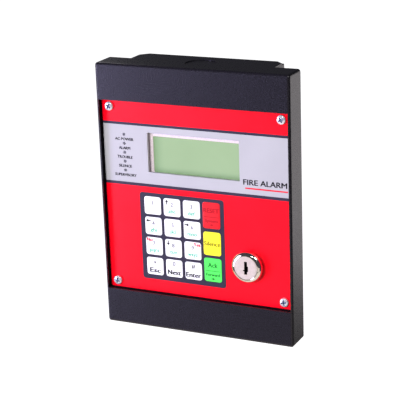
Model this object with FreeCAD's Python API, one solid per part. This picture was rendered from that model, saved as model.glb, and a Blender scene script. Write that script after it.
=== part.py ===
import FreeCAD, Part
import math
import os

# A wall-mounted fire alarm panel: a sheet-steel cover over a narrower back box, a recessed
# printed faceplate with a display, fifteen keys, five lights and a key switch, and the boards behind.
# Millimetres. +X to the viewer's right, +Z up, the front looks along -Y, and the wall is the plane y = 0.

# overall
panel_width = 148.0
panel_height = 196.0
total_depth = 39.2          # from the front bands to the wall
cover_depth = 20.5          # the wide front part
sheet = 1.2                 # steel of the cover and the back box
bend_radius = 2.0
band_height = 26.6          # the front bands above and below the faceplate
side_lip = 1.7              # what is left of the front face beside the faceplate
return_depth = 6.4          # inner edges of the bands, folded inwards

# back box
box_width = 110.6
box_clip = 5.5              # clipped rear corners of the top and bottom walls
box_wall_start = 14.0       # depth where its side walls begin
knockout_radius = 11.1      # half-inch conduit
knockout_push = 0.6
knockout_gap = 0.25
cover_screw_x = 40.0
cover_screw_depth = 32.0
cover_screw_radius = 1.4
wall_hole_x = 90.0
wall_hole_z = 160.0
wall_hole_radius = 2.5
gang_hole_x = 46.0          # two-gang wall box
gang_hole_z = 83.3
gang_hole_radius = 2.1
cable_entry_radius = 14.0
cable_entry_z = -28.0
ground_x = -38.0
ground_z = -70.0
ground_radius = 2.0

# faceplate, in depths measured back from the front bands
label_front = 4.8
label_thickness = 0.25
plate_thickness = 1.5
plate_gap = 0.3
plate_front = label_front + label_thickness
plate_back = plate_front + plate_thickness
screw_x = 66.1
screw_z = 66.0
screw_head_radius = 3.3
screw_head_height = 2.3
screw_shank_radius = 1.7
screw_shank_length = 7.0
label_clearance = 0.15

# display
window_left = -36.9
window_right = 33.9
window_bottom = 19.5
window_top = 48.4
lcd_x = 4.2                 # middle of the display opening
lcd_z = 32.05
lcd_open_width = 77.0
lcd_open_height = 26.5
lcd_front = 8.3
lcd_bezel_depth = 7.0
lcd_bezel_width = 96.6
lcd_bezel_height = 39.8
lcd_bezel_sheet = 0.6
lcd_cell_width = 86.0       # glass and backlight
lcd_glass_height = 34.0
lcd_light_height = 36.0
lcd_glass_thickness = 2.2
lcd_board_width = 98.0
lcd_board_height = 60.0
lcd_board_front = lcd_front + lcd_bezel_depth
board_thickness = 1.6
lcd_hole_x = 93.0
lcd_hole_z = 55.0

# indicator lights
led_x = -55.5
led_top_z = 45.9
led_pitch = 6.65
led_count = 5
led_radius = 1.0
led_foot_radius = 1.5
led_tip = 4.85
led_shoulder = 7.4
led_board_front = 9.6

# keypad
key_size = 13.3
key_radius = 1.9
key_left_x = -34.8
key_pitch_x = 15.4
key_top_z = -5.4
key_pitch_z = 15.37
key_front = 4.4
key_thickness = 0.65
key_clearance = 0.12
key_stem_radius = 2.5
key_stem_length = 0.55
dome_radius = 4.2
dome_height = 0.35
dome_rim = 0.12
frame_front = 4.6
frame_left = -45.05
frame_right = 21.3
frame_top = 4.15
frame_bottom = -61.7
frame_radius = 2.2
side_key_x = 11.45
side_key_width = 13.6

# key switch
lock_x = 39.5
lock_z = -42.0
lock_head_radius = 11.6
lock_base_radius = 10.7     # where the head meets the label
lock_face_radius = 8.7
lock_rim = 0.25             # flat ring round the face
lock_bevel = 0.3            # width and slope of the cone outside it, in degrees
lock_bevel_slope = 15.0
lock_height = 6.3
lock_barrel_radius = 9.2
lock_barrel_flat = 8.0
lock_end = 26.0
plug_radius = 6.0
plug_clearance = 0.05
plug_flange = 1.2
keyway_height = 9.5
keyway_width = 2.1
keyway_depth = 20.0
lock_washer_radius = 12.0
lock_washer_thickness = 0.8
lock_nut_across = 22.0
lock_nut_thickness = 3.2
switch_end = 33.5
switch_radius = 9.0

# boards
main_board_front = 21.0
main_left = -46.5
main_right = 53.0
main_bottom = 0.5
main_top = 63.5
main_back = main_board_front + board_thickness
connector_height = 5.6
trimmer_x = 44.0
trimmer_z = 52.0
trimmer_half = 3.3
terminal_pitch = 5.08
terminal_count = 6
terminal_first_x = -8.0
terminal_z = 6.6
ribbon_x = -29.0            # keypad ribbon, and where it leaves the keypad board
ribbon_z = -9.25
ribbon_start = 13.0
ribbon_half = 0.45
led_ribbon_x = -52.3
led_ribbon_start = 14.6

half_w = panel_width / 2
half_h = panel_height / 2
half_box = box_width / 2
lock_face = label_front - lock_height
blade_depth = switch_end - 2.75
open_x = half_w - side_lip
open_z = half_h - band_height
# where the studs that carry the boards stand: display and main board, keypad board, light board
board_studs = [(lcd_x + sx * lcd_hole_x / 2, lcd_z + sz * lcd_hole_z / 2)
               for sx in (-1, 1) for sz in (-1, 1)]
keypad_studs = [(x, z) for x in (-48.2, 23.2) for z in (-55.0, 0.0)]
led_studs = [(-58.2, 13.0), (-58.2, 52.2)]
stud_radius = 1.5
nut_height = 2.4
nut_across = 5.5
spacer_radius = 3.0
fit_gap = 0.05              # between a stud and its hole


# ---- small helpers ----

def y_at(depth):
    return depth - total_depth


def vec(x, depth, z):
    return FreeCAD.Vector(x, y_at(depth), z)


def block(x0, x1, d0, d1, z0, z1):
    return Part.makeBox(x1 - x0, d1 - d0, z1 - z0, vec(x0, d0, z0))


def rod(x, z, d0, d1, radius):
    return Part.makeCylinder(radius, d1 - d0, vec(x, d0, z), FreeCAD.Vector(0, 1, 0))


def tube(x, z, d0, d1, outer, inner):
    return rod(x, z, d0, d1, outer).cut(rod(x, z, d0 - 1, d1 + 1, inner))


def round_block(x0, x1, d0, d1, z0, z1, radius):
    """A plate with rounded corners, seen from the front."""
    body = block(x0, x1, d0, d1, z0, z1)
    corners = [e for e in body.Edges if abs(e.tangentAt(e.FirstParameter).y) > 0.9]
    return body.makeFillet(radius, corners)


def hexagon(x, z, d0, d1, across):
    radius = across / math.sqrt(3)
    turns = [math.radians(60 * k) for k in range(7)]
    points = [vec(x + radius * math.cos(a), d0, z + radius * math.sin(a)) for a in turns]
    return Part.Face(Part.makePolygon(points)).extrude(FreeCAD.Vector(0, d1 - d0, 0))


def fuse(shapes):
    return shapes[0].multiFuse(shapes[1:]).removeSplitter()


def drill(body, places, d0, d1, radius):
    return body.cut(Part.makeCompound([rod(x, z, d0, d1, radius) for x, z in places]))


def spun(points, x, z):
    """A solid of revolution about the line through (x, z) along Y; points are (radius, depth)."""
    wire = Part.makePolygon([vec(r + x, d, z) for r, d in points + points[:1]])
    return Part.Face(wire).revolve(vec(x, 0, z), FreeCAD.Vector(0, 1, 0), 360)


def bent_path(points, bend):
    """Straight runs joined by tangent arcs of one radius."""
    edges = []
    start = points[0]
    for before, corner, after in zip(points, points[1:], points[2:]):
        into = (corner - before).normalize()
        out = (after - corner).normalize()
        turn = into.getAngle(out)
        back = bend * math.tan(turn / 2)
        first = corner - into * back
        last = corner + out * back
        middle = corner + (out - into).normalize() * (bend / math.cos(turn / 2) - bend)
        edges.append(Part.LineSegment(start, first).toShape())
        edges.append(Part.Arc(first, middle, last).toShape())
        start = last
    edges.append(Part.LineSegment(start, points[-1]).toShape())
    return Part.Wire(edges)


def swept(path, profile):
    pipe = Part.BRepOffsetAPI.MakePipeShell(path)
    pipe.add(profile)
    pipe.setTransitionMode(1)
    pipe.build()
    pipe.makeSolid()
    return pipe.shape()


# ---- cover and back box ----

def rounded_shell(inset, radius):
    """The cover's outer form, or its inside when inset by the sheet."""
    body = block(-half_w + inset, half_w - inset, inset, cover_depth + (5 if inset else 0),
                 -half_h + inset, half_h - inset)
    limit = inset + 0.01
    edges = []
    for edge in body.Edges:
        middle = edge.valueAt((edge.FirstParameter + edge.LastParameter) / 2)
        along_depth = abs(edge.tangentAt(edge.FirstParameter).y) > 0.9
        if along_depth or middle.y < y_at(limit):
            edges.append(edge)
    return body.makeFillet(radius, edges)


def wall_tongue(side):
    """The part of the top or bottom wall that runs back to the building's wall."""
    outer = side * half_h
    inner = side * (half_h - sheet)
    back = total_depth
    outline = [(-half_box, cover_depth - 1), (half_box, cover_depth - 1), (half_box, back - box_clip),
               (half_box - box_clip, back), (box_clip - half_box, back), (-half_box, back - box_clip)]
    wire = Part.makePolygon([vec(x, d, inner) for x, d in outline + outline[:1]])
    return Part.Face(wire).extrude(FreeCAD.Vector(0, 0, outer - inner))


def band_return(side):
    z0, z1 = sorted((side * open_z, side * (open_z + sheet)))
    return block(-open_x, open_x, sheet / 2, return_depth, z0, z1)


def rear_return(side):
    x0, x1 = sorted((side * (half_box + 0.7), side * (half_w - sheet / 2)))
    reach = half_h - sheet / 2
    return block(x0, x1, cover_depth - sheet, cover_depth, -reach, reach)


def knockout():
    """A conduit disc, still held by two ties and pushed in a little."""
    middle = total_depth / 2
    floor = half_h - sheet - knockout_push
    up = FreeCAD.Vector(0, 0, 1)
    disc = Part.makeCylinder(knockout_radius - knockout_gap, sheet, vec(0, middle, floor), up)
    half_tie = 1.0
    ties = [block(x - half_tie, x + half_tie, middle - half_tie, middle + half_tie,
                  half_h - sheet, half_h - knockout_push)
            for x in (-knockout_radius, knockout_radius)]
    return fuse([disc] + ties)


def front_cover():
    shell = rounded_shell(0, bend_radius).cut(rounded_shell(sheet, bend_radius - sheet))
    shell = shell.cut(block(-open_x, open_x, -1, sheet + 1, -open_z, open_z))
    pieces = [shell] + [make(side) for make in (wall_tongue, band_return, rear_return) for side in (-1, 1)]
    cover = fuse(pieces)
    up = FreeCAD.Vector(0, 0, 1)
    hole = Part.makeCylinder(knockout_radius, 10, vec(0, total_depth / 2, half_h - 5), up)
    cover = fuse([cover.cut(hole), knockout()])
    for x in (-cover_screw_x, cover_screw_x):
        start = vec(x, cover_screw_depth, -half_h - 1)
        cover = cover.cut(Part.makeCylinder(cover_screw_radius + 0.4, 4, start, FreeCAD.Vector(0, 0, 1)))
    return cover


def back_box():
    reach = half_h - sheet - 0.1
    outer = block(-half_box, half_box, box_wall_start, total_depth, -reach, reach)
    rear = [e for e in outer.Edges if abs(e.tangentAt(e.FirstParameter).z) > 0.9
            and e.Vertexes[0].Point.y > y_at(total_depth - 1)]
    outer = outer.makeFillet(bend_radius, rear)
    inner = block(-half_box + sheet, half_box - sheet, box_wall_start - 1, total_depth - sheet, -99, 99)
    body = outer.cut(inner)
    ears = []
    half_ear = 8.0
    ear_start = 25.0
    for side in (-1, 1):
        for x in (-cover_screw_x, cover_screw_x):
            z0, z1 = sorted((side * reach, side * (reach - sheet)))
            ears.append(block(x - half_ear, x + half_ear, ear_start, total_depth - sheet / 2, z0, z1))
    body = fuse([body] + ears)
    for x in (-cover_screw_x, cover_screw_x):
        start = vec(x, cover_screw_depth, -reach - 1)
        body = body.cut(Part.makeCylinder(cover_screw_radius + fit_gap, 4, start, FreeCAD.Vector(0, 0, 1)))
    walls = [(sx * wall_hole_x / 2, sz * wall_hole_z / 2) for sx in (-1, 1) for sz in (-1, 1)]
    gangs = [(sx * gang_hole_x / 2, sz * gang_hole_z / 2) for sx in (-1, 1) for sz in (-1, 1)]
    body = drill(body, walls, 30, 45, wall_hole_radius)
    body = drill(body, gangs, 30, 45, gang_hole_radius)
    return drill(body, [(0, cable_entry_z)], 30, 45, cable_entry_radius)


def cover_screws():
    """Two short screws up through the bottom wall into the back box."""
    head_radius = 3.2
    head_height = 1.9
    slot_width = 0.9
    slot_depth = 1.0
    up = FreeCAD.Vector(0, 0, 1)
    screws = []
    for x in (-cover_screw_x, cover_screw_x):
        low = -half_h - head_height
        head = Part.makeCylinder(head_radius, head_height, vec(x, cover_screw_depth, low), up)
        head = head.makeFillet(1.2, [e for e in head.Edges if e.Vertexes[0].Point.z < low + 0.1])
        slot_corner = vec(x - 2.5, cover_screw_depth - slot_width / 2, low - 0.1)
        slot = Part.makeBox(5, slot_width, slot_depth, slot_corner)
        shank = Part.makeCylinder(cover_screw_radius, 6, vec(x, cover_screw_depth, -half_h), up)
        screws.append(head.fuse(shank).cut(slot))
    return Part.makeCompound(screws)


def faceplate_lugs():
    """Four angle tabs, welded to the cover's side walls, that the faceplate screws into."""
    thick = 1.5
    inner_x = 60.5
    low_z = 60.0
    high_z = 71.0
    leg_end = 17.5
    wall = half_w - sheet
    lugs = []
    for sx in (-1, 1):
        for sz in (-1, 1):
            x0, x1 = sorted((sx * inner_x, sx * wall))
            leg0, leg1 = sorted((sx * (wall - thick), sx * wall))
            z0, z1 = sorted((sz * low_z, sz * high_z))
            tab = block(x0, x1, plate_back, plate_back + thick, z0, z1)
            leg = block(leg0, leg1, plate_back, leg_end, z0, z1)
            hole = rod(sx * screw_x, sz * screw_z, 0, 12, screw_shank_radius + fit_gap)
            lugs.append(fuse([tab, leg]).cut(hole))
    return Part.makeCompound(lugs)


# ---- faceplate ----

def key_cells():
    """Name, middle x, middle z, width and height of each key."""
    names = ["key_1", "key_2", "key_3", "key_4", "key_5", "key_6", "key_7", "key_8", "key_9",
             "key_star", "key_0", "key_hash"]
    cells = []
    for k, name in enumerate(names):
        x = key_left_x + key_pitch_x * (k % 3)
        z = key_top_z - key_pitch_z * (k // 3)
        cells.append((name, x, z, key_size, key_size))
    cells.append(("key_reset", side_key_x, -8.1, side_key_width, 19.5))
    cells.append(("key_silence", side_key_x, -29.15, side_key_width, 17.5))
    cells.append(("key_acknowledge", side_key_x, -48.9, side_key_width, 17.8))
    return cells


def key_openings(d0, d1, extra):
    return Part.makeCompound([
        round_block(x - w / 2 - extra, x + w / 2 + extra, d0, d1, z - h / 2 - extra, z + h / 2 + extra,
                    key_radius + extra)
        for name, x, z, w, h in key_cells()])


def led_places():
    return [(led_x, led_top_z - led_pitch * k) for k in range(led_count)]


def lock_barrel(radius, flat, d0, d1):
    """A round barrel with two flats, upright."""
    body = rod(lock_x, lock_z, d0, d1, radius)
    return body.common(block(lock_x - flat, lock_x + flat, d0, d1, lock_z - 20, lock_z + 20))


def plate_blank(d0, d1, grow):
    x = open_x - plate_gap
    z = open_z - plate_gap
    body = round_block(-x, x, d0, d1, -z, z, 1.0)
    window = round_block(window_left - grow, window_right + grow, d0 - 1, d1 + 1,
                         window_bottom - grow, window_top + grow, 0.6)
    body = body.cut(window)
    body = drill(body, led_places(), d0 - 1, d1 + 1, led_radius + 0.1)
    corners = [(sx * screw_x, sz * screw_z) for sx in (-1, 1) for sz in (-1, 1)]
    body = drill(body, corners, d0 - 1, d1 + 1, screw_shank_radius + 0.2)
    return body.cut(lock_barrel(lock_barrel_radius + 0.1, lock_barrel_flat + 0.1, d0 - 1, d1 + 1))


def faceplate():
    body = plate_blank(plate_front, plate_back, 0)
    return body.cut(key_openings(plate_front - 1, plate_back + 1, key_clearance + fit_gap))


def faceplate_label():
    """The printed film on the plate; the keypad's frame lies in its own cut-out."""
    body = plate_blank(label_front, plate_front, label_clearance)
    return body.cut(round_block(frame_left, frame_right, 0, 9, frame_bottom, frame_top, frame_radius))


def keypad_frame():
    gap = 0.05
    body = round_block(frame_left + gap, frame_right - gap, frame_front, plate_front,
                       frame_bottom + gap, frame_top - gap, frame_radius)
    return body.cut(key_openings(0, 9, key_clearance))


def key(x, z, w, h):
    """A soft key pad with its edge rounded, and the stem that presses the dome."""
    back = key_front + key_thickness
    pad = round_block(x - w / 2, x + w / 2, key_front, back, z - h / 2, z + h / 2, key_radius)
    front_edges = [e for e in pad.Edges if all(v.Point.y < y_at(key_front + 0.01) for v in e.Vertexes)]
    pad = pad.makeFillet(0.3, front_edges)
    return fuse([pad, rod(x, z, back - 0.05, back + key_stem_length, key_stem_radius)])


def keypad_board():
    edge = 3.0
    xs = [x for x, z in keypad_studs]
    zs = [z for x, z in keypad_studs]
    body = round_block(min(xs) - edge, max(xs) + edge, plate_back, plate_back + board_thickness,
                       min(zs) - edge - 1.6, max(zs) + edge + 0.4, 1.0)
    body = drill(body, board_studs, 0, 20, spacer_radius + 0.4)
    return drill(body, keypad_studs, 0, 20, stud_radius + fit_gap)


def key_domes():
    """Snap domes, one under each key, just clear of its stem."""
    crown = plate_back - dome_height
    rim = plate_back - dome_rim
    flat = 1.6
    profile = [(0, crown), (flat, crown), (dome_radius, rim), (dome_radius, plate_back), (0, plate_back)]
    return Part.makeCompound([spun(profile, x, z) for name, x, z, w, h in key_cells()])


def cross_recess(x, z, front, reach, width, depth):
    """The four-winged recess of a cross-head screw, narrower towards its bottom."""
    wings = []
    for half_x, half_z in ((reach, width), (width, reach)):
        top = Part.makePolygon([vec(x + a * half_x, front, z + b * half_z)
                                for a, b in ((-1, -1), (1, -1), (1, 1), (-1, 1), (-1, -1))])
        low = Part.makePolygon([vec(x + a * half_x * 0.45, front + depth, z + b * half_z * 0.6)
                                for a, b in ((-1, -1), (1, -1), (1, 1), (-1, 1), (-1, -1))])
        wings.append(Part.makeLoft([top, low], True, True))
    return fuse(wings)


def pan_screw(x, z, seat, length):
    """A cross-head pan screw whose head sits on the depth given."""
    top = seat - screw_head_height
    r = screw_head_radius
    end = seat + length
    dome = [(0, top), (r * 0.45, top + 0.08), (r * 0.75, top + 0.38), (r * 0.94, top + 0.95),
            (r, top + 1.5)]
    profile = dome + [(r, seat), (screw_shank_radius, seat), (screw_shank_radius, end), (0, end)]
    return spun(profile, x, z).cut(cross_recess(x, z, top - 0.05, 1.95, 0.48, 1.5))


def faceplate_screws():
    return Part.makeCompound([pan_screw(sx * screw_x, sz * screw_z, label_front, screw_shank_length)
                              for sx in (-1, 1) for sz in (-1, 1)])


def faceplate_studs():
    studs = [rod(x, z, plate_back, main_back + 4.0, stud_radius) for x, z in board_studs]
    keypad_end = plate_back + board_thickness + 3.6
    led_end = led_board_front + board_thickness + 2.6
    studs += [rod(x, z, plate_back, keypad_end, stud_radius) for x, z in keypad_studs]
    studs += [rod(x, z, plate_back, led_end, stud_radius) for x, z in led_studs]
    return Part.makeCompound(studs)


def stud_nut(x, z, depth):
    hole = rod(x, z, depth - 1, depth + 4, stud_radius + fit_gap)
    return hexagon(x, z, depth, depth + nut_height, nut_across).cut(hole)


def stud_nuts():
    nuts = [stud_nut(x, z, main_back) for x, z in board_studs]
    nuts += [stud_nut(x, z, plate_back + board_thickness) for x, z in keypad_studs]
    nuts += [stud_nut(x, z, led_board_front + board_thickness) for x, z in led_studs]
    return Part.makeCompound(nuts)


# ---- display ----

def lcd_bezel():
    """The pressed metal frame: a shallow box with its face open over the display."""
    x0, x1 = lcd_x - lcd_bezel_width / 2, lcd_x + lcd_bezel_width / 2
    z0, z1 = lcd_z - lcd_bezel_height / 2, lcd_z + lcd_bezel_height / 2
    t = lcd_bezel_sheet
    body = round_block(x0, x1, lcd_front, lcd_board_front, z0, z1, 1.0)
    body = body.cut(block(x0 + t, x1 - t, lcd_front + t, lcd_board_front + 1, z0 + t, z1 - t))
    half_x = lcd_open_width / 2
    half_z = lcd_open_height / 2
    return body.cut(round_block(lcd_x - half_x, lcd_x + half_x, lcd_front - 1, lcd_front + 2,
                                lcd_z - half_z, lcd_z + half_z, 0.8))


def lcd_layer(width, height, d0, d1):
    return block(lcd_x - width / 2, lcd_x + width / 2, d0, d1, lcd_z - height / 2, lcd_z + height / 2)


def lcd_glass():
    front = lcd_front + lcd_bezel_sheet + 0.05
    return lcd_layer(lcd_cell_width, lcd_glass_height, front, front + lcd_glass_thickness)


def lcd_backlight():
    front = lcd_front + lcd_bezel_sheet + lcd_glass_thickness + 0.1
    return lcd_layer(lcd_cell_width, lcd_light_height, front, lcd_board_front)


def lcd_board():
    body = lcd_layer(lcd_board_width, lcd_board_height, lcd_board_front, lcd_board_front + board_thickness)
    return drill(body, board_studs, 0, 40, stud_radius + fit_gap)


def lcd_spacers():
    return Part.makeCompound([tube(x, z, plate_back, lcd_board_front, spacer_radius, stud_radius + fit_gap)
                              for x, z in board_studs])


def board_spacers():
    start = lcd_board_front + board_thickness
    return Part.makeCompound([tube(x, z, start, main_board_front, spacer_radius, stud_radius + fit_gap)
                              for x, z in board_studs])


def lcd_header():
    """The moulded strip of sixteen pins between the two boards."""
    x0 = lcd_x - 38.0
    length = 16 * 2.54
    low = lcd_z + 26.2
    return block(x0, x0 + length, lcd_board_front + board_thickness, main_board_front, low, low + 2.5)


# ---- boards and what is on them ----

def main_board():
    body = round_block(main_left, main_right, main_board_front, main_back, main_bottom, main_top, 1.0)
    return drill(body, board_studs, 0, 40, stud_radius + fit_gap)


def led_board():
    edge = 3.5
    body = block(led_x - 6.0, led_x + 5.5, led_board_front, led_board_front + board_thickness,
                 led_studs[0][1] - edge, led_studs[1][1] + edge)
    return drill(body, led_studs, 0, 20, stud_radius + fit_gap)


def led_spacers():
    return Part.makeCompound([tube(x, z, plate_back, led_board_front, 2.6, stud_radius + fit_gap)
                              for x, z in led_studs])


def indicator_leds():
    """Two-millimetre lamps: a wide foot on the board and a domed tip just under the label's face."""
    r = led_radius
    profile = [(0, led_tip), (r * 0.5, led_tip + 0.13), (r * 0.87, led_tip + 0.5), (r, led_tip + 1.0),
               (r, led_shoulder), (led_foot_radius, led_shoulder), (led_foot_radius, led_board_front),
               (0, led_board_front)]
    return Part.makeCompound([spun(profile, x, z) for x, z in led_places()])


def on_main(x0, width, z0, height, thick):
    """A block standing on the rear of the main board."""
    return block(x0, x0 + width, main_back, main_back + thick, z0, z0 + height)


def processor():
    side = 14.0
    return on_main(0.0, side, 30.0, side, 1.6)


def small_chips():
    width = 5.0
    height = 10.0
    corners = [(-24, 34), (-14, 34), (24, 40), (33, 40)]
    return Part.makeCompound([on_main(x, width, z, height, 1.7) for x, z in corners])


def crystal():
    """The flat oval can of a watch-size crystal."""
    length = 11.4
    width = 4.7
    left = 1.0
    low = 48.5
    return round_block(left, left + length, main_back, main_back + 3.6, low, low + width, 2.2)


def capacitors():
    """Upright cans, each with the pressed groove near its foot."""
    groove_depth = 0.35
    groove_start = main_back + 1.2
    groove_end = main_back + 1.8
    cans = []
    for x, z, radius, height in ((-33, 42, 5.0, 12.0), (-36, 28, 4.0, 11.0), (44, 28, 3.15, 8.0)):
        can = rod(x, z, main_back, main_back + height, radius)
        cans.append(can.cut(tube(x, z, groove_start, groove_end, radius + 1, radius - groove_depth)))
    return Part.makeCompound(cans)


def regulator():
    """A tab regulator lying flat."""
    left = -25.0
    low = 16.0
    width = 10.0
    tab_length = 15.5
    tab_thickness = 1.3
    tab = on_main(left, width, low, tab_length, tab_thickness)
    body = on_main(left, width, low, 9.0, 4.4)
    hole = rod(left + width / 2, low + tab_length - 3.0, main_back - 1, main_back + 4, 1.9)
    return fuse([tab, body]).cut(hole)


def buzzer():
    x = 30.0
    z = 20.0
    height = 8.5
    sound_hole = rod(x, z, main_back + 5, main_back + height + 0.5, 1.0)
    return rod(x, z, main_back, main_back + height, 6.0).cut(sound_hole)


def terminal_places():
    return [(terminal_first_x + terminal_pitch * k, terminal_z) for k in range(terminal_count)]


def terminal_block():
    """Six screw terminals in a row, wire mouths facing down."""
    length = terminal_pitch * terminal_count
    height = 8.8
    low = terminal_z - height / 2
    body = on_main(terminal_first_x - terminal_pitch / 2, length, low, height, 10.0)
    body = drill(body, terminal_places(), main_back + 6.0, main_back + 11, 2.05)
    half_mouth = 1.8
    mouths = [block(x - half_mouth, x + half_mouth, main_back + 1.5, main_back + 5.5,
                    low - 1, terminal_z - 0.6) for x, z in terminal_places()]
    return body.cut(Part.makeCompound(mouths))


def terminal_screws():
    screws = []
    half_slot = 0.35
    for x, z in terminal_places():
        slot = block(x - 2.5, x + 2.5, main_back + 8.4, main_back + 10, z - half_slot, z + half_slot)
        screws.append(rod(x, z, main_back + 6.0, main_back + 9.2, 1.95).cut(slot))
    return Part.makeCompound(screws)


def connectors():
    """Sockets for the keypad ribbon, the light board's ribbon and the key switch's wires."""
    keypad = on_main(ribbon_x - 7.0, 14.0, 2.0, connector_height, connector_height)
    lights = on_main(-45.5, connector_height, 43.0, 10.0, connector_height)
    lock = on_main(35.0, 9.0, 2.0, connector_height, connector_height)
    keypad_head = block(ribbon_x - 7.0, ribbon_x + 7.0, plate_back + board_thickness, ribbon_start,
                        ribbon_z - 2.75, ribbon_z + 2.75)
    lights_head = block(led_ribbon_x - 1.6, led_ribbon_x + 1.7, led_board_front + board_thickness,
                        led_ribbon_start, 43.0, 53.0)
    return Part.makeCompound([keypad, lights, lock, keypad_head, lights_head])


def flat_cable(points, bend, half_x, half_z):
    """A ribbon of one section along bent runs."""
    first = points[0]
    corners = [(-1, -1), (1, -1), (1, 1), (-1, 1), (-1, -1)]
    profile = Part.makePolygon([first + FreeCAD.Vector(a * half_x, 0, b * half_z) for a, b in corners])
    return swept(bent_path(points, bend), profile)


def keypad_ribbon():
    """From the keypad board back and up to the main board's rear."""
    depth = main_back + connector_height / 2
    points = [vec(ribbon_x, ribbon_start, ribbon_z), vec(ribbon_x, depth, ribbon_z),
              vec(ribbon_x, depth, 2.0)]
    return flat_cable(points, 5.0, 6.0, ribbon_half)


def led_ribbon():
    """From the light board back and across to the main board's rear."""
    depth = main_back + connector_height / 2
    z = 48.0
    points = [vec(led_ribbon_x, led_ribbon_start, z), vec(led_ribbon_x, depth, z), vec(-45.5, depth, z)]
    return flat_cable(points, 4.0, ribbon_half, 3.3)


def lock_wires():
    """Two thin wires from the key switch's blades up to the main board."""
    wires = []
    end_depth = main_back + connector_height / 2
    for side in (-1, 1):
        x = lock_x + 2.5 * side
        points = [vec(x, blade_depth, lock_z + 16.0), vec(x, blade_depth, lock_z + 23.0),
                  vec(x, end_depth, -8.0), vec(x, end_depth, 2.0)]
        heading = (points[1] - points[0]).normalize()
        ring = Part.Wire(Part.makeCircle(0.6, points[0], heading))
        wires.append(swept(bent_path(points, 9.0), ring))
    return Part.makeCompound(wires)


def contrast_trimmer():
    body = block(trimmer_x - trimmer_half, trimmer_x + trimmer_half, main_back, main_back + 4.6,
                 trimmer_z - trimmer_half, trimmer_z + trimmer_half)
    return body.cut(rod(trimmer_x, trimmer_z, main_back + 2.0, main_back + 9, 2.0))


def trimmer_rotor():
    half_slot = 0.35
    slot = block(trimmer_x - 3, trimmer_x + 3, main_back + 4.2, main_back + 9,
                 trimmer_z - half_slot, trimmer_z + half_slot)
    return rod(trimmer_x, trimmer_z, main_back + 2.05, main_back + 4.9, 1.95).cut(slot)


# ---- key switch ----

def lock_body():
    """A domed head on a threaded barrel with two flats, bored for the plug."""
    rim = lock_face_radius + lock_rim
    slope = math.radians(lock_bevel_slope)
    bevel_end = rim + lock_bevel
    edge_radius = (lock_head_radius - bevel_end) / (1 - math.sin(slope))
    middle_radius = lock_head_radius - edge_radius
    middle_depth = lock_face + lock_bevel * math.tan(slope) + edge_radius * math.cos(slope)
    steps = 6
    turns = [slope + (math.pi / 2 - slope) * k / steps for k in range(steps + 1)]
    edge = [(middle_radius + edge_radius * math.sin(a), middle_depth - edge_radius * math.cos(a))
            for a in turns]
    base = [(lock_base_radius, label_front), (0, label_front)]
    head = spun([(0, lock_face), (rim, lock_face)] + edge + base, lock_x, lock_z)
    barrel = lock_barrel(lock_barrel_radius, lock_barrel_flat, label_front - 0.5, lock_end)
    body = fuse([head, barrel])
    bore = rod(lock_x, lock_z, lock_face - 1, lock_end + 1, plug_radius + plug_clearance)
    seat_end = lock_face + plug_flange + plug_clearance
    seat = rod(lock_x, lock_z, lock_face - 1, seat_end, lock_face_radius + plug_clearance)
    return body.cut(bore).cut(seat)


def lock_plug():
    """The part that turns: a wide face, the cylinder, and a stepped keyway."""
    face_front = lock_face + 0.1
    face = rod(lock_x, lock_z, face_front, lock_face + plug_flange, lock_face_radius)
    face = face.makeChamfer(0.15, [e for e in face.Edges if e.Vertexes[0].Point.y < y_at(face_front + 0.1)])
    shaft = rod(lock_x, lock_z, lock_face + plug_flange - 0.1, lock_end + 1.5, plug_radius)
    tang = block(lock_x - 1.5, lock_x + 1.5, lock_end + 1, lock_end + 4, lock_z - 2.8, lock_z + 2.8)
    body = fuse([face, shaft, tang])

    def slot(left, right, low, high):
        return block(lock_x + left, lock_x + right, lock_face - 1, lock_face + keyway_depth,
                     lock_z + low, lock_z + high)
    tall = slot(-keyway_width / 2, keyway_width / 2, -keyway_height / 2, keyway_height / 2)
    side = slot(-0.5, 1.75, -2.6, 1.4)
    notch = slot(-2.0, 0, -2.3, -1.5)
    return body.cut(fuse([tall, side, notch]))


def lock_washer():
    disc = rod(lock_x, lock_z, plate_back, plate_back + lock_washer_thickness, lock_washer_radius)
    return disc.cut(lock_barrel(lock_barrel_radius + fit_gap, lock_barrel_flat + fit_gap, 0, 20))


def lock_nut():
    start = plate_back + lock_washer_thickness
    nut = hexagon(lock_x, lock_z, start, start + lock_nut_thickness, lock_nut_across)
    return nut.cut(rod(lock_x, lock_z, 0, 20, lock_barrel_radius + 0.02))


def switch_block():
    """The contact block clipped on the end of the barrel."""
    body = rod(lock_x, lock_z, lock_end, switch_end, switch_radius)
    body = body.cut(rod(lock_x, lock_z, lock_end - 1, lock_end + 4.6, plug_radius + 0.3))
    half_shelf = 5.0
    shelf = block(lock_x - half_shelf, lock_x + half_shelf, lock_end + 2.5, switch_end,
                  lock_z + 7.0, lock_z + 11.0)
    return fuse([body, shelf])


def switch_terminals():
    half_width = 1.2
    half_thick = 0.25
    blades = []
    for side in (-1, 1):
        x = lock_x + 2.5 * side
        blades.append(block(x - half_width, x + half_width, blade_depth - half_thick,
                            blade_depth + half_thick, lock_z + 11.0, lock_z + 16.0))
    return Part.makeCompound(blades)


# ---- earth point ----

def ground_stud():
    floor = total_depth - sheet
    return rod(ground_x, ground_z, floor - 12.0, floor, ground_radius)


def ground_nuts():
    nuts = []
    height = 3.2
    for back in (3.6, 7.4):
        depth = total_depth - sheet - back
        hole = rod(ground_x, ground_z, depth - 1, depth + 5, ground_radius + fit_gap)
        nuts.append(hexagon(ground_x, ground_z, depth, depth + height, 7.0).cut(hole))
    return Part.makeCompound(nuts)


# ---- write every piece ----

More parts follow.
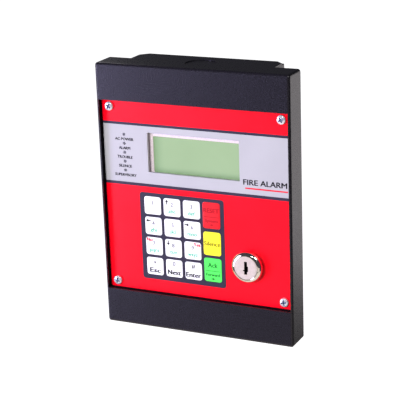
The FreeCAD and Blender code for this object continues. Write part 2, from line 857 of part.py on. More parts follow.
pieces = {
    "front_cover": front_cover, "back_box": back_box, "cover_screws": cover_screws,
    "faceplate_lugs": faceplate_lugs, "faceplate": faceplate, "faceplate_label": faceplate_label,
    "keypad_frame": keypad_frame, "keypad_board": keypad_board, "key_domes": key_domes,
    "faceplate_screws": faceplate_screws, "faceplate_studs": faceplate_studs, "stud_nuts": stud_nuts,
    "lcd_bezel": lcd_bezel, "lcd_glass": lcd_glass, "lcd_backlight": lcd_backlight, "lcd_board": lcd_board,
    "lcd_spacers": lcd_spacers, "board_spacers": board_spacers, "lcd_header": lcd_header,
    "main_board": main_board, "led_board": led_board, "led_spacers": led_spacers,
    "indicator_leds": indicator_leds, "processor": processor, "small_chips": small_chips,
    "crystal": crystal, "capacitors": capacitors, "regulator": regulator, "buzzer": buzzer,
    "terminal_block": terminal_block, "terminal_screws": terminal_screws, "connectors": connectors,
    "keypad_ribbon": keypad_ribbon, "led_ribbon": led_ribbon, "lock_wires": lock_wires,
    "contrast_trimmer": contrast_trimmer, "trimmer_rotor": trimmer_rotor,
    "lock_body": lock_body, "lock_plug": lock_plug, "lock_washer": lock_washer, "lock_nut": lock_nut,
    "switch_block": switch_block, "switch_terminals": switch_terminals,
    "ground_stud": ground_stud, "ground_nuts": ground_nuts,
}

os.makedirs("parts", exist_ok=True)
for name, make in pieces.items():
    shape = make()
    shape.exportStep("parts/" + name + ".step")
    print(name, "solids", len(shape.Solids), "valid", shape.isValid(), "volume", round(shape.Volume, 1))
for name, x, z, w, h in key_cells():
    shape = key(x, z, w, h)
    shape.exportStep("parts/" + name + ".step")
    print(name, "solids", len(shape.Solids), "valid", shape.isValid(), "volume", round(shape.Volume, 1))
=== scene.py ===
import math
import bpy
import bmesh
from mathutils import Matrix, Vector


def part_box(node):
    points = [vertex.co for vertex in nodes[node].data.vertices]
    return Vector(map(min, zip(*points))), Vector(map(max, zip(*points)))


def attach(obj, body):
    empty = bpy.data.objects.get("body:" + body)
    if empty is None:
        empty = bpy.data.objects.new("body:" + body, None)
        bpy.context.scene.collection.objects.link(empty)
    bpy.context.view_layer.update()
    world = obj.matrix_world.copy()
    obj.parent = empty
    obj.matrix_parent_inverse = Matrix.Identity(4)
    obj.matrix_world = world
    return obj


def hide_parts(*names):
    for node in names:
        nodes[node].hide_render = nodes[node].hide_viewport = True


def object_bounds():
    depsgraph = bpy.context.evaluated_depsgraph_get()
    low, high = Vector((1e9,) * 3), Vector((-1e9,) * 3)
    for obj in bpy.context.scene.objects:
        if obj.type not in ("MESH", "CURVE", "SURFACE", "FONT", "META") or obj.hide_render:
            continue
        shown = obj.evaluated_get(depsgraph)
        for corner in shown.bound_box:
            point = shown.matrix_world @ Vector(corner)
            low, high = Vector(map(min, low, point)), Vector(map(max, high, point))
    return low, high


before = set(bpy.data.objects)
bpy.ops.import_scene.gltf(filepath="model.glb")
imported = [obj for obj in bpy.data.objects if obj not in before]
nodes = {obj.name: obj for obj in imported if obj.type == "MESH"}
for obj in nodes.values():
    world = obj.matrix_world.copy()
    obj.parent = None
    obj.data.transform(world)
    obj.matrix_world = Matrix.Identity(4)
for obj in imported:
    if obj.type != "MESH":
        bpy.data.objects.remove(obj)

# Fire alarm panel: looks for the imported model. Metres; the front looks along -Y, the wall is y = 0.
mm = 0.001
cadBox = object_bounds()
scene = bpy.context.scene
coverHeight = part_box("front_cover")[1].z * 2
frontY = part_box("front_cover")[0].y
weldGap = 0.001 * mm                                    # vertices nearer than this are one
onAxis = 1e-7                                           # a radius under this is a point on the axis
print("frame loaded,", len(nodes), "nodes")


def groupBoxes(node):
    # boxes of the separate solids inside one node, found from its connected vertices
    bm = bmesh.new()
    bm.from_mesh(nodes[node].data)
    bmesh.ops.remove_doubles(bm, verts=bm.verts, dist=weldGap)
    left = set(bm.verts)
    boxes = []
    while left:
        reach = [left.pop()]
        found = list(reach)
        while reach:
            vert = reach.pop()
            for edge in vert.link_edges:
                other = edge.other_vert(vert)
                if other in left:
                    left.discard(other)
                    reach.append(other)
                    found.append(other)
        low = Vector([min(v.co[i] for v in found) for i in range(3)])
        high = Vector([max(v.co[i] for v in found) for i in range(3)])
        boxes.append((low, high))
    bm.free()
    return sorted(boxes, key=lambda box: (round(box[0].z, 4), round(box[0].x, 4)))


def addNode(tree, kind, values=None, **settings):
    node = tree.nodes.new(kind)
    for name, value in settings.items():
        setattr(node, name, value)
    for name, value in (values or {}).items():
        node.inputs[name].default_value = value
    return node


def rgb(*colour):
    # screen colour 0..255 to linear
    linear = [(c / 255 / 12.92) if c < 10.3 else ((c / 255 + 0.055) / 1.055) ** 2.4 for c in colour]
    return (*linear, 1.0)


def tones(colour, step):
    # a screen colour, and the same a few steps lighter
    return rgb(*colour), rgb(*[min(255, c + step) for c in colour])


def ramp(tree, source, stops):
    node = addNode(tree, "ShaderNodeValToRGB")
    node.color_ramp.elements[0].position, node.color_ramp.elements[0].color = stops[0]
    node.color_ramp.elements[1].position, node.color_ramp.elements[1].color = stops[-1]
    for position, colour in stops[1:-1]:
        node.color_ramp.elements.new(position).color = colour
    tree.links.new(source, node.inputs["Fac"])
    return node.outputs["Color"]


def noise(tree, vector, scale, detail, stretch=None):
    if stretch:
        mapping = addNode(tree, "ShaderNodeMapping", {"Scale": stretch})
        tree.links.new(vector, mapping.inputs["Vector"])
        vector = mapping.outputs["Vector"]
    node = addNode(tree, "ShaderNodeTexNoise", {"Scale": scale, "Detail": detail})
    tree.links.new(vector, node.inputs["Vector"])
    return node.outputs["Fac"]


# how the noise is used: its usual range, where the two tones start, and the coarse bumps' size in grains
mottle = {"low": 0.3, "high": 0.7, "firstTone": 0.32, "secondTone": 0.68, "toneDetail": 4.0,
          "grainDetail": 2.0, "coarseGrains": 6}


def spread(tree, source, low, high):
    node = addNode(tree, "ShaderNodeMapRange", {"From Min": mottle["low"], "From Max": mottle["high"],
                                                "To Min": low, "To Max": high})
    tree.links.new(source, node.inputs["Value"])
    return node.outputs["Result"]


def bump(tree, height, depth, normal=None):
    node = addNode(tree, "ShaderNodeBump", {"Strength": 1.0, "Distance": depth})
    tree.links.new(height, node.inputs["Height"])
    if normal:
        tree.links.new(normal, node.inputs["Normal"])
    return node.outputs["Normal"]


def finish(name, base, second, patch=60, rough=0.5, roughStep=0.08, grain=1500, depth=0.02, metal=0.0,
           coat=0.0, coatRough=0.2, specular=0.5, stretch=None, coarse=0.0):
    # base and second: the two tones; patch: blotches per metre; grain: bumps per metre; depth in mm
    material = bpy.data.materials.new(name)
    material.use_nodes = True
    tree = material.node_tree
    shader = tree.nodes["Principled BSDF"]
    shader.inputs["Metallic"].default_value = metal
    shader.inputs["Coat Weight"].default_value = coat
    shader.inputs["Coat Roughness"].default_value = coatRough
    shader.inputs["Specular IOR Level"].default_value = specular
    place = addNode(tree, "ShaderNodeTexCoord").outputs["Object"]
    tone = noise(tree, place, patch, mottle["toneDetail"])
    stops = [(mottle["firstTone"], base), (mottle["secondTone"], second)]
    tree.links.new(ramp(tree, tone, stops), shader.inputs["Base Color"])
    fine = noise(tree, place, grain, mottle["grainDetail"], stretch)
    tree.links.new(spread(tree, fine, rough - roughStep, rough + roughStep), shader.inputs["Roughness"])
    normal = bump(tree, fine, depth * mm)
    if coarse:
        lumps = noise(tree, place, grain / mottle["coarseGrains"], mottle["grainDetail"])
        normal = bump(tree, lumps, coarse * mm, normal)
    tree.links.new(normal, shader.inputs["Normal"])
    return material


def paint(material, *names):
    for name in names:
        slots = nodes[name].data.materials
        slots.clear()
        slots.append(material)


def makePiece(name, bm, materials, sharp=35):
    bmesh.ops.recalc_face_normals(bm, faces=bm.faces)
    mesh = bpy.data.meshes.new(name)
    bm.to_mesh(mesh)
    bm.free()
    for material in materials:
        mesh.materials.append(material)
    mesh.shade_smooth()
    mesh.set_sharp_from_angle(angle=math.radians(sharp))
    piece = bpy.data.objects.new(name, mesh)
    scene.collection.objects.link(piece)
    return piece


def lathe(bm, profile, x, z, segments, squeeze=None):
    # turns (radius, y) points about the line through (x, z) along Y; a profile that starts and ends off
    # the axis is a closed loop
    rings = []
    for radius, y in profile:
        if radius < onAxis:
            rings.append([bm.verts.new((x, y, z))])
            continue
        ring = []
        for k in range(segments):
            angle = 2 * math.pi * k / segments
            point = Vector((radius * math.cos(angle), y, radius * math.sin(angle)))
            if squeeze:
                point = squeeze(point)
            ring.append(bm.verts.new((x + point.x, point.y, z + point.z)))
        rings.append(ring)
    pairs = list(zip(rings, rings[1:]))
    if len(rings[0]) > 1 and len(rings[-1]) > 1:
        pairs.append((rings[-1], rings[0]))
    for a, b in pairs:
        for k in range(segments):
            n = (k + 1) % segments
            corners = [a[k % len(a)], a[n % len(a)], b[n % len(b)], b[k % len(b)]]
            bm.faces.new(list(dict.fromkeys(corners)))  # at the axis the two shared corners become one
    return rings


leastCorner = 0.01 * mm


def roundedRing(x, z, width, height, radius, y, steps, along=1):
    # a rounded rectangle, anticlockwise from the front; along splits each straight side
    radius = max(radius, leastCorner)
    points = []
    for sx, sz, start in ((1, 1, 0), (-1, 1, 90), (-1, -1, 180), (1, -1, 270)):
        middle = Vector((x + sx * (width / 2 - radius), y, z + sz * (height / 2 - radius)))
        for k in range(steps + 1):
            angle = math.radians(start + 90 * k / steps)
            points.append(middle + Vector((radius * math.cos(angle), 0, radius * math.sin(angle))))
    full = []
    for k, point in enumerate(points):
        full.append(point)
        if k % (steps + 1) == steps:
            after = points[(k + 1) % len(points)]
            full += [point.lerp(after, n / along) for n in range(1, along)]
    return full


def loft(bm, rings, close=False, capStart=True):
    made = [[bm.verts.new(point) for point in ring] for ring in rings]
    pairs = list(zip(made, made[1:]))
    if close:
        pairs.append((made[-1], made[0]))
    for a, b in pairs:
        for k in range(len(a)):
            n = (k + 1) % len(a)
            bm.faces.new((a[k], a[n], b[n], b[k]))
    if not close and capStart:
        bm.faces.new(list(reversed(made[0])))
    if not close:
        bm.faces.new(made[-1])
    return made


# boldRise: how far an outer print of a heavy word moves up, as a share of its move sideways
lettering = {"thickness": 0.05 * mm, "sunk": 0.02 * mm, "step": 0.002 * mm, "weldGap": 0.0005 * mm,
             "curveSteps": 3, "boldRise": 0.4}


def addWords(bm, words, x, z, size, surface, material, bold=0.0, width=None):
    # words as thin closed letters, centred on x with their baseline on z; surface gives y at (x, z);
    # heavier words are three prints, the outer two moved by bold
    curve = bpy.data.curves.new("words", "FONT")
    curve.body = words
    curve.size = size
    curve.extrude = lettering["thickness"] / 2
    curve.resolution_u = lettering["curveSteps"]
    carrier = bpy.data.objects.new("words", curve)
    scene.collection.objects.link(carrier)
    bpy.context.view_layer.update()
    mesh = bpy.data.meshes.new_from_object(carrier.evaluated_get(bpy.context.evaluated_depsgraph_get()))
    xs = [v.co.x for v in mesh.vertices]
    middle = (min(xs) + max(xs)) / 2
    narrow = width / (max(xs) - min(xs)) if width else 1.0
    letters = bmesh.new()
    letters.from_mesh(mesh)
    bmesh.ops.remove_doubles(letters, verts=letters.verts, dist=lettering["weldGap"])
    top = max(v.co.z for v in letters.verts)
    for side in ((-1, 0, 1) if bold else (0,)):
        made = {}
        for v in letters.verts:
            px = x + (v.co.x - middle) * narrow + side * bold
            pz = z + v.co.y + side * bold * lettering["boldRise"]
            lift = v.co.z - top + lettering["thickness"] - lettering["sunk"] + side * lettering["step"]
            made[v] = bm.verts.new((px, surface(px, pz) - lift, pz))
        for face in letters.faces:
            bm.faces.new([made[v] for v in face.verts]).material_index = material
    letters.free()
    bpy.data.objects.remove(carrier)
    bpy.data.curves.remove(curve)
    bpy.data.meshes.remove(mesh)


def addOutline(bm, points, surface, material):
    # a thin closed shape from a flat outline of (x, z) points
    thick = lettering["thickness"] - lettering["sunk"]
    front = [bm.verts.new((x, surface(x, z) - thick, z)) for x, z in points]
    back = [bm.verts.new((x, surface(x, z) + lettering["sunk"], z)) for x, z in points]
    bm.faces.new(front).material_index = material
    bm.faces.new(list(reversed(back))).material_index = material
    for k in range(len(points)):
        n = (k + 1) % len(points)
        bm.faces.new((front[n], front[k], back[k], back[n])).material_index = material


# an arrow that points right, in shares of its length
arrowOutline = [(-0.5, -0.11), (0.0, -0.11), (0.0, -0.36), (0.5, 0.0), (0.0, 0.36), (0.0, 0.11), (-0.5, 0.11)]


def addArrow(bm, x, z, length, turn, surface, material):
    cos, sin = math.cos(math.radians(turn)), math.sin(math.radians(turn))
    points = []
    for along, up in arrowOutline:
        a, b = along * length, up * length
        points.append((x + a * cos - b * sin, z + a * sin + b * cos))
    addOutline(bm, points, surface, material)


cameraView = {"place": (2.14487, -4.39632, 1.54237),      # in cover heights, from the front bands' middle
              "right": (0.90483, 0.42449, -0.03308), "up": (-0.09781, 0.28285, 0.95417),
              "back": (0.41439, -0.86012, 0.29744), "lens": 128.45, "sensor": 36.0, "nearest": 0.01}


def makeCamera():
    data = bpy.data.cameras.new("camera")
    camera = bpy.data.objects.new("camera", data)
    scene.collection.objects.link(camera)
    turn = Matrix((cameraView["right"], cameraView["up"], cameraView["back"])).transposed()
    place = Vector(cameraView["place"]) * coverHeight + Vector((0, frontY, 0))
    camera.matrix_world = Matrix.Translation(place) @ turn.to_4x4()
    data.lens = cameraView["lens"]
    data.sensor_width = cameraView["sensor"]
    data.clip_start = cameraView["nearest"]
    scene.camera = camera


lamps = {
    "leftSoftbox": {"place": (-1.05, -0.95, -0.03), "size": (0.55, 1.0), "power": 17.5,
                    "tint": (0.66, 0.62, 1.0)},
    "frontKey": {"place": (-0.25, -1.3, 0.42), "size": (0.5, 0.5), "power": 22.5, "tint": (1.0, 0.98, 0.98),
                 "shine": False},
    "rightBack": {"place": (0.62, 1.15, -0.15), "size": (0.8, 0.8), "power": 2.5, "tint": (1.0, 0.94, 0.96)},
    "topLeft": {"place": (-0.30, 0.22, 0.27), "size": (0.12, 0.12), "power": 0.2, "tint": (1.0, 0.97, 1.0)},
    "highGlint": {"place": (0.25, -0.95, 0.85), "size": (0.22, 0.16), "power": 1.6, "tint": (1.0, 1.0, 1.0)},
    "rightGlint": {"place": (0.65, -0.48, 0.70), "size": (0.36, 0.36), "power": 2.6, "tint": (1.0, 1.0, 0.97),
                   "glow": False},
    "rightCard": {"place": (0.55, -0.95, -0.42), "size": (0.9, 0.3), "power": 0.62, "tint": (1.0, 0.9, 0.8)},
}
room = {"floorDrop": 0.62, "floorSize": 24.0, "floorThickness": 0.02, "floorColour": (0.9, 0.9, 0.9),
        "floorRough": 0.9, "floorGlow": 1.05, "backdrop": (1.0, 1.0, 1.0),
        # what surrounds the panel, from straight down (0) through level (0.5) to straight up (1)
        "surround": [(0.0, (0.95, 0.87, 0.78)), (0.24, (0.82, 0.74, 0.66)), (0.28, (0.06, 0.06, 0.07)),
                     (0.62, (0.06, 0.06, 0.07)), (1.0, (0.05, 0.05, 0.06))]}


def softLamp(name, look):
    data = bpy.data.lights.new(name, "AREA")
    data.shape = "RECTANGLE"
    data.size, data.size_y = look["size"]
    data.energy = look["power"]
    data.color = look["tint"]
    lamp = bpy.data.objects.new(name, data)
    scene.collection.objects.link(lamp)
    lamp.location = look["place"]
    lamp.rotation_mode = "QUATERNION"
    lamp.rotation_quaternion = (-Vector(look["place"])).to_track_quat("-Z", "Y")    # faces the panel's middle
    lamp.visible_camera = False
    lamp.visible_glossy = look.get("shine", True)
    lamp.visible_diffuse = look.get("glow", True)


def makeSurround():
    # a pale backdrop to look at, and a dim room that lights the panel, lighter below it
    world = bpy.data.worlds.new("studio")
    scene.world = world
    world.use_nodes = True
    tree = world.node_tree
    dim = tree.nodes["Background"]
    direction = addNode(tree, "ShaderNodeTexCoord").outputs["Generated"]
    parts = addNode(tree, "ShaderNodeSeparateXYZ")
    tree.links.new(direction, parts.inputs["Vector"])
    height = addNode(tree, "ShaderNodeMapRange", {"From Min": -1.0, "From Max": 1.0})
    tree.links.new(parts.outputs["Z"], height.inputs["Value"])
    stops = [(position, (*colour, 1)) for position, colour in room["surround"]]
    tree.links.new(ramp(tree, height.outputs["Result"], stops), dim.inputs["Color"])
    pale = addNode(tree, "ShaderNodeBackground", {"Color": (*room["backdrop"], 1)})
    seen = addNode(tree, "ShaderNodeLightPath").outputs["Is Camera Ray"]
    mix = addNode(tree, "ShaderNodeMixShader")
    tree.links.new(seen, mix.inputs[0])
    tree.links.new(dim.outputs[0], mix.inputs[1])
    tree.links.new(pale.outputs[0], mix.inputs[2])
    tree.links.new(mix.outputs[0], tree.nodes["World Output"].inputs["Surface"])


def makeStudio():
    makeSurround()
    half = room["floorSize"] / 2
    bm = bmesh.new()
    z = cadBox[0].z - room["floorDrop"]
    corners = ((-half, -half), (half, -half), (half, half), (-half, half))
    loft(bm, [[Vector((x, y, z - drop)) for x, y in corners] for drop in (0.0, room["floorThickness"])])
    pale = bpy.data.materials.new("paleFloor")
    pale.use_nodes = True
    shader = pale.node_tree.nodes["Principled BSDF"]
    shader.inputs["Base Color"].default_value = (*room["floorColour"], 1)
    shader.inputs["Roughness"].default_value = room["floorRough"]
    shader.inputs["Emission Color"].default_value = (1, 1, 1, 1)
    shader.inputs["Emission Strength"].default_value = room["floorGlow"]
    floor = makePiece("floor", bm, [pale])
    floor.visible_glossy = False
    floor.visible_diffuse = False
    for name, look in lamps.items():
        softLamp(name, look)
    scene.view_settings.view_transform = "Standard"
    scene.view_settings.look = "None"


powderCoat = {"base": rgb(18, 16, 22), "second": rgb(28, 26, 34), "patch": 1100, "rough": 0.31,
              "roughStep": 0.08, "grain": 1300, "depth": 0.035, "coarse": 0.02, "specular": 0.5}
# recessShade: painted shade, no reflection on the folded edges between these depths behind the front
recessShade = {"specular": 0.0, "from": 0.9 * mm, "to": 7.0 * mm, "side": 1.0 * mm}


def below(tree, source, limit, absolute=False):
    # 1 where the value is under the limit
    if absolute:
        whole = addNode(tree, "ShaderNodeMath", operation="ABSOLUTE")
        tree.links.new(source, whole.inputs[0])
        source = whole.outputs[0]
    node = addNode(tree, "ShaderNodeMath", operation="LESS_THAN")
    tree.links.new(source, node.inputs[0])
    node.inputs[1].default_value = limit
    return node.outputs[0]


def times(tree, first, second):
    node = addNode(tree, "ShaderNodeMath", operation="MULTIPLY")
    tree.links.new(first, node.inputs[0])
    tree.links.new(second, node.inputs[1])
    return node.outputs[0]


def coatSheetMetal():
    # the folded edges round the faceplate lose their reflection: painted shade in the recess behind the bands
    coat = finish("charcoalPowder", **powderCoat)
    tree = coat.node_tree
    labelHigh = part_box("faceplate_label")[1]
    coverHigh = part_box("front_cover")[1]
    parts = addNode(tree, "ShaderNodeSeparateXYZ")
    tree.links.new(addNode(tree, "ShaderNodeTexCoord").outputs["Object"], parts.inputs["Vector"])
    window = times(tree, below(tree, parts.outputs["Z"], labelHigh.z + recessShade["side"], True),
                   below(tree, parts.outputs["X"], coverHigh.x - recessShade["side"], True))
    inside = addNode(tree, "ShaderNodeMath", operation="SUBTRACT")
    for socket, depth in zip(inside.inputs, (recessShade["to"], recessShade["from"])):
        tree.links.new(times(tree, window, below(tree, parts.outputs["Y"], frontY + depth)), socket)
    paintedShade = addNode(tree, "ShaderNodeMapRange", {"To Min": powderCoat["specular"],
                                                "To Max": recessShade["specular"]})
    tree.links.new(inside.outputs[0], paintedShade.inputs["Value"])
    tree.links.new(paintedShade.outputs["Result"], tree.nodes["Principled BSDF"].inputs["Specular IOR Level"])
    paint(coat, "front_cover", "back_box")


labelPrint = {
    "upperRule": (53.05 * mm, 54.98 * mm), "lowerRule": (8.39 * mm, 10.61 * mm),
    "captions": ["AC POWER", "ALARM", "TROUBLE", "SILENCE", "SUPERVISORY"],
    "captionSize": 2.85 * mm, "captionDrop": 4.45 * mm, "captionBold": 0.14 * mm,
    "title": "FIRE ALARM", "titleX": 53.0 * mm, "titleZ": 17.4 * mm, "titleSize": 5.6 * mm,
    "titleWidth": 32.5 * mm, "titleBold": 0.2 * mm,
    "titleRule": (38.0 * mm, 70.0 * mm, 14.4 * mm, 15.4 * mm),
    "flatAngle": 0.5,                                   # degrees; faces nearer in slope than this become one
}
labelInks = {"red": (236, 2, 26), "grey": (166, 165, 172), "dark": (46, 42, 58), "inkDark": (12, 11, 15),
             "inkRed": (215, 20, 45)}
labelSlots = list(labelInks)


def filmFinish(name, tone):
    # satin printed film, its tone drifting a little
    return finish(name, *tones(tone, 5), patch=35, rough=0.38, roughStep=0.05, grain=2600, depth=0.006,
                  specular=0.28)


def makeLabel():
    p = labelPrint
    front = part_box("faceplate_label")[0].y
    bm = bmesh.new()
    bm.from_mesh(nodes["faceplate_label"].data)
    bmesh.ops.remove_doubles(bm, verts=bm.verts, dist=weldGap)
    bmesh.ops.dissolve_limit(bm, angle_limit=math.radians(p["flatAngle"]), verts=bm.verts, edges=bm.edges)
    for height in p["upperRule"] + p["lowerRule"]:
        everything = bm.verts[:] + bm.edges[:] + bm.faces[:]
        bmesh.ops.bisect_plane(bm, geom=everything, plane_co=(0, 0, height), plane_no=(0, 0, 1))
    lowRule, highRule = p["lowerRule"], p["upperRule"]
    for face in bm.faces:
        z = face.calc_center_median().z
        if lowRule[0] < z < lowRule[1] or highRule[0] < z < highRule[1]:
            face.material_index = labelSlots.index("dark")
        elif lowRule[1] < z < highRule[0]:
            face.material_index = labelSlots.index("grey")
    dark = labelSlots.index("inkDark")

    def flat(x, z):
        return front
    for (low, high), words in zip(groupBoxes("indicator_leds")[::-1], p["captions"]):
        middle = (low + high) / 2
        addWords(bm, words, middle.x, middle.z - p["captionDrop"], p["captionSize"], flat, dark,
                 bold=p["captionBold"])
    addWords(bm, p["title"], p["titleX"], p["titleZ"], p["titleSize"], flat, dark, bold=p["titleBold"],
             width=p["titleWidth"])
    x0, x1, z0, z1 = p["titleRule"]
    addOutline(bm, [(x0, z0), (x1, z0), (x1, z1), (x0, z1)], flat, labelSlots.index("inkRed"))
    inks = [filmFinish("label" + name[0].upper() + name[1:], colour) for name, colour in labelInks.items()]
    label = makePiece("printed_label", bm, inks, sharp=30)
    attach(label, "root")
    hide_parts("faceplate_label")
    paint(inks[labelSlots.index("dark")], "keypad_frame")


keyShape = {"edge": 0.32 * mm, "edgeSteps": 4, "crown": 0.07 * mm, "crownPower": 4, "corner": 1.9 * mm,
            "cornerShare": 0.9,                         # how much of an inset comes off the corner radius
            "faceRings": (0.12, 0.25, 0.4, 0.6, 0.8, 0.97), "pad": 0.65 * mm, "backEdge": 0.12 * mm,
            "stemRadius": 2.5 * mm, "stemSunk": 0.1 * mm, "stemEdge": 0.15 * mm}
inkColours = {"digit": (96, 96, 108), "letters": (40, 168, 128), "black": (8, 8, 10), "crimson": (212, 6, 44),
              "bold": (26, 24, 32), "dimRed": (150, 10, 20), "olive": (70, 66, 12), "deepGreen": (8, 76, 26)}
inkNames = list(inkColours)
# the legends of the digit keys; the letters come with their width in mm
digitKeys = {
    "key_1": {"digit": "1"},
    "key_2": {"digit": "2", "letters": ("abc", 5.8), "arrow": 90},
    "key_3": {"digit": "3", "letters": ("def", 5.4)},
    "key_4": {"digit": "4", "letters": ("ghi", 5.2), "arrow": 180},
    "key_5": {"digit": "5", "letters": ("jkl", 4.2)},
    "key_6": {"digit": "6", "letters": ("mno", 7.2), "arrow": 0},
    "key_7": {"digit": "7", "letters": ("pqrs", 7.2), "word": "No", "side": -1},
    "key_8": {"digit": "8", "letters": ("tuv", 5.6), "arrow": 270},
    "key_9": {"digit": "9", "letters": ("wxyz", 7.6), "word": "Yes", "side": 1},
}
# sign, word and the word's width in mm
wordKeys = {"key_star": ("*", "Esc", 8.4), "key_0": ("0", "Next", 10.2), "key_hash": ("#", "Enter", 11.7)}
keyPrint = {"digitSize": 4.3 * mm, "digitUp": 0.8 * mm, "digitBold": 0.13 * mm,
            "lettersSize": 4.1 * mm, "lettersDown": 4.1 * mm, "lettersBold": 0.12 * mm,
            "arrowSide": 4.0 * mm, "arrowUp": 3.9 * mm, "arrowLength": 3.7 * mm,
            "wordSide": 3.5 * mm, "wordUp": 3.7 * mm, "wordSize": 3.6 * mm, "wordBold": 0.2 * mm,
            "signUp": 2.0 * mm, "signSize": 4.6 * mm, "starDrop": 1.3 * mm,
            "nameDown": 4.7 * mm, "nameSize": 5.0 * mm, "nameBold": 0.26 * mm}
# each word with its height above the key's middle, its size and its width, in mm
sideKeyPrint = {
    "key_reset": {"ink": "dimRed", "words": [("RESET", 2.2, 4.6, 11.8), ("System", -4.8, 2.8, 9.6)],
                  "rule": -1.2, "arrow": (-6.9, 2.4)},
    "key_silence": {"ink": "olive", "words": [("Silence", -1.5, 4.6, 12.4)]},
    "key_acknowledge": {"ink": "deepGreen", "words": [("Ack", 2.0, 4.8, 7.4), ("Forward", -4.6, 3.1, 10.6)],
                        "rule": -0.9, "arrow": (-6.8, 2.7)},
}
sideKeyBold = 0.12 * mm
ruleShape = {"width": 11.5 * mm, "thick": 0.35 * mm, "steps": 6}


def padSurface(node):
    # the slightly crowned front of a key: y at (x, z)
    low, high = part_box(node)
    middle = (low + high) / 2
    width, height = high.x - low.x, high.z - low.z

    def surface(x, z):
        u = min(abs(x - middle.x) / (width / 2), 1.0)
        v = min(abs(z - middle.z) / (height / 2), 1.0)
        power = keyShape["crownPower"]
        return low.y + keyShape["crown"] * (1 - (1 - u ** power) * (1 - v ** power))
    return surface, middle, width, height, low.y


def addPad(bm, node):
    s = keyShape
    surface, middle, width, height, front = padSurface(node)
    back = front + s["pad"]
    edge = s["edge"]
    rings = []

    def addRing(inset, y):
        ring = roundedRing(middle.x, middle.z, width - 2 * inset, height - 2 * inset,
                           s["corner"] - inset * s["cornerShare"], y, 6, 5)
        rings.append(ring)
        return ring
    addRing(s["backEdge"], back)
    addRing(0.0, back - s["backEdge"])
    for k in range(s["edgeSteps"] + 1):
        angle = math.radians(90 * k / s["edgeSteps"])
        ring = addRing(edge * (1 - math.cos(angle)), 0)
        for point in ring:
            point.y = surface(point.x, point.z) + edge * (1 - math.sin(angle))
    for share in s["faceRings"]:
        ring = addRing(edge + (min(width, height) / 2 - edge) * share, 0)
        for point in ring:
            point.y = surface(point.x, point.z)
    loft(bm, rings)
    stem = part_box(node)[1].y
    radius = s["stemRadius"]
    lathe(bm, [(0, back - s["stemSunk"]), (radius, back - s["stemSunk"]), (radius, stem - s["stemEdge"]),
               (radius - s["stemEdge"], stem), (0, stem)], middle.x, middle.z, 32)
    return surface, middle


capColours = {"White": (238, 238, 242), "Red": (210, 20, 30), "Yellow": (250, 238, 44),
              "Green": (78, 232, 88)}


def keyMaterials():
    inks = [filmFinish("ink" + name[0].upper() + name[1:], colour) for name, colour in inkColours.items()]
    caps = {}
    for name, colour in capColours.items():
        caps[name] = finish("key" + name, *tones(colour, 6), patch=90, rough=0.38, grain=2200, depth=0.01,
                            specular=0.45, coat=0.1)
    return caps, inks


def makeKey(node, cap, inks, draw):
    bm = bmesh.new()
    surface, middle = addPad(bm, node)
    draw(bm, surface, middle)
    piece = makePiece(node + "_pad", bm, [cap] + inks, sharp=40)
    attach(piece, node + "_body")
    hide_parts(node)


def ink(name):
    return 1 + inkNames.index(name)


def drawDigitKey(look):
    def draw(bm, surface, middle):
        p = keyPrint
        addWords(bm, look["digit"], middle.x, middle.z + p["digitUp"], p["digitSize"], surface, ink("digit"),
                 bold=p["digitBold"])
        if "letters" in look:
            words, width = look["letters"]
            addWords(bm, words, middle.x, middle.z - p["lettersDown"], p["lettersSize"], surface,
                     ink("letters"), bold=p["lettersBold"], width=width * mm)
        if "arrow" in look:
            addArrow(bm, middle.x - p["arrowSide"], middle.z + p["arrowUp"], p["arrowLength"], look["arrow"],
                     surface, ink("black"))
        if "word" in look:
            addWords(bm, look["word"], middle.x + look["side"] * p["wordSide"], middle.z + p["wordUp"],
                     p["wordSize"], surface, ink("crimson"), bold=p["wordBold"])
    return draw


def drawWordKey(sign, words, width):
    def draw(bm, surface, middle):
        p = keyPrint
        drop = p["starDrop"] if sign == "*" else 0
        addWords(bm, sign, middle.x, middle.z + p["signUp"] - drop, p["signSize"], surface,
                 ink("digit") if sign == "0" else ink("bold"), bold=p["digitBold"])
        addWords(bm, words, middle.x, middle.z - p["nameDown"], p["nameSize"], surface, ink("bold"),
                 bold=p["nameBold"], width=width * mm)
    return draw


def addRule(bm, middle, z, surface, material):
    # a printed line in short steps, so that it follows the crown
    r = ruleShape
    step = r["width"] / r["steps"]
    for k in range(r["steps"]):
        x0 = middle.x - r["width"] / 2 + step * k
        x1, z1 = x0 + step, z + r["thick"]
        addOutline(bm, [(x0, z), (x1, z), (x1, z1), (x0, z1)], surface, material)


def drawSideKey(look):
    def draw(bm, surface, middle):
        tone = ink(look["ink"])
        for words, height, size, width in look["words"]:
            addWords(bm, words, middle.x, middle.z + height * mm, size * mm, surface, tone, bold=sideKeyBold,
                     width=width * mm)
        if "rule" in look:
            addRule(bm, middle, middle.z + look["rule"] * mm, surface, tone)
        if "arrow" in look:
            height, length = look["arrow"]
            addArrow(bm, middle.x, middle.z + height * mm, length * mm, 0, surface, tone)
    return draw


def makeKeys():
    caps, inks = keyMaterials()
    for node, look in digitKeys.items():
        makeKey(node, caps["White"], inks, drawDigitKey(look))
    for node, look in wordKeys.items():
        makeKey(node, caps["White"], inks, drawWordKey(*look))
    for (node, look), tone in zip(sideKeyPrint.items(), ("Red", "Yellow", "Green")):
        makeKey(node, caps[tone], inks, drawSideKey(look))


screwShape = {"head": 3.3 * mm, "rise": 2.3 * mm, "side": 0.95 * mm, "domeSteps": 12, "domeFlat": 0.8,
              "domeWide": 0.9, "rimUp": 0.2 * mm, "rimIn": 0.15 * mm, "shank": 1.7 * mm, "pitch": 0.7 * mm,
              "ridge": 0.2 * mm, "firstRidge": 0.4 * mm, "tipIn": 0.6 * mm,
              "wing": 2.15 * mm, "wingWidth": 0.55 * mm, "recess": 1.3 * mm,
              "turns": (12, 78, 33, 61)}                # how far each cross happens to be turned, degrees
